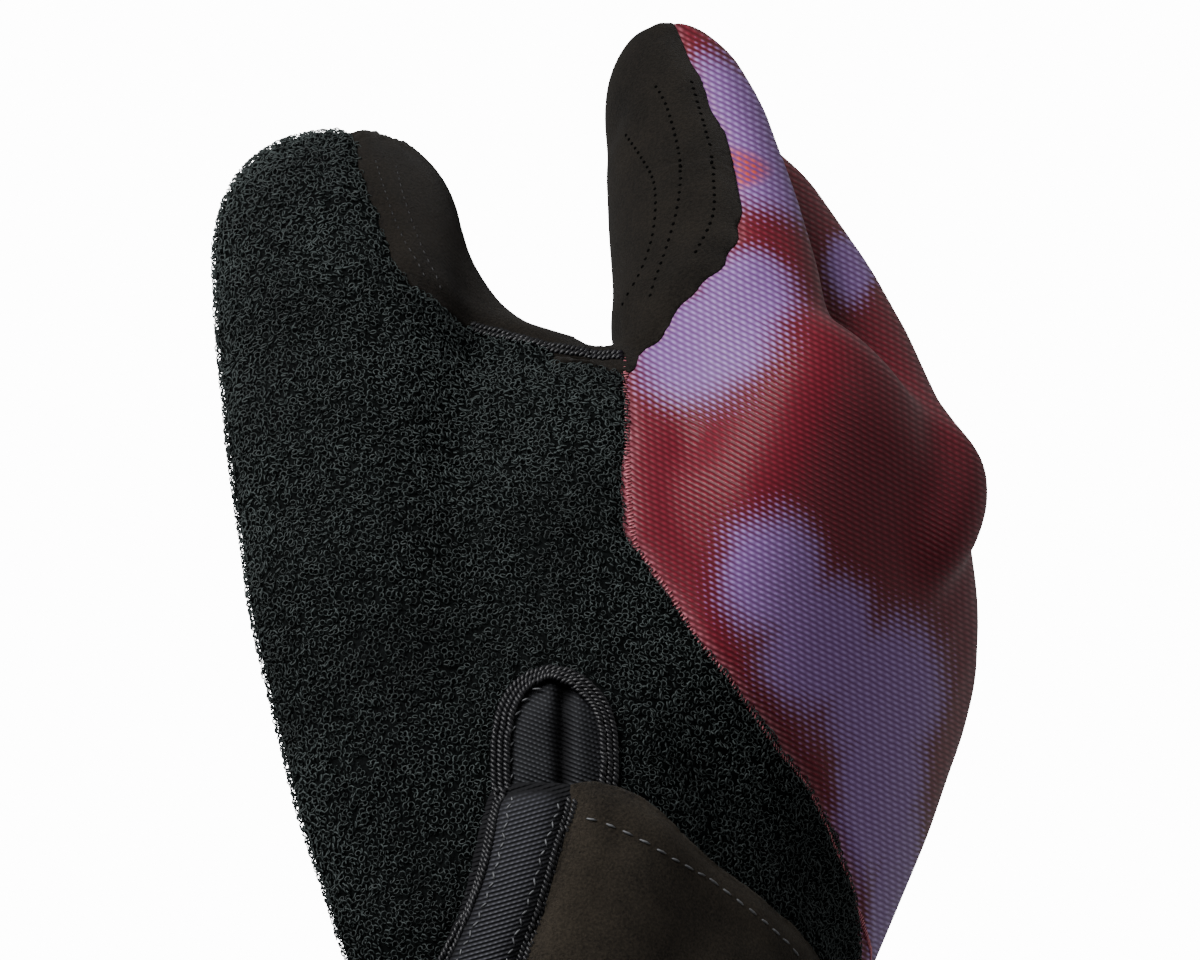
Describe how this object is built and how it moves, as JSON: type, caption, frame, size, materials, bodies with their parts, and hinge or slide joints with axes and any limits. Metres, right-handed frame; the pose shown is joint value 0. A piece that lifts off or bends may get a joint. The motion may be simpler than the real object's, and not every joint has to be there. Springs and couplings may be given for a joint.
{
  "type": "cycling glove",
  "caption": "Right-hand long-finger cycling glove with satin back, suede palm, terry thumb and a wrist closing tab, kept in its worn shape.",
  "frame": {"origin": "centre of the wrist opening, level with the hem", "axes": "+Z from the wrist opening to the fingertips, -Y the back of the hand, +Y the palm, -X the thumb side, +X the little finger's side"},
  "size_m": [0.1202, 0.0817, 0.1813],
  "materials": {
    "satin": "dyed stretch satin",
    "suede": "dark synthetic suede",
    "terry": "looped terry",
    "side_knit": "smooth stretch knit",
    "rib_knit": "ribbed knit",
    "overlock": "overlocked cord edge",
    "tape": "glossy folded stretch tape",
    "tab_suede": "brown-black synthetic suede"
  },
  "bodies": {
    "root": {"back_panel": "satin", "palm_panel": "suede", "thumb_terry": "terry", "thumb_palm": "suede", "fourchette_index_middle": "side_knit", "fourchette_middle_ring": "side_knit", "fourchette_ring_little": "side_knit", "keyhole_gusset": "rib_knit", "keyhole_piping": "overlock", "slit_binding": "tape", "wrist_tab": "tab_suede", "cuff_binding": "tape"}
  },
  "joints": []
}
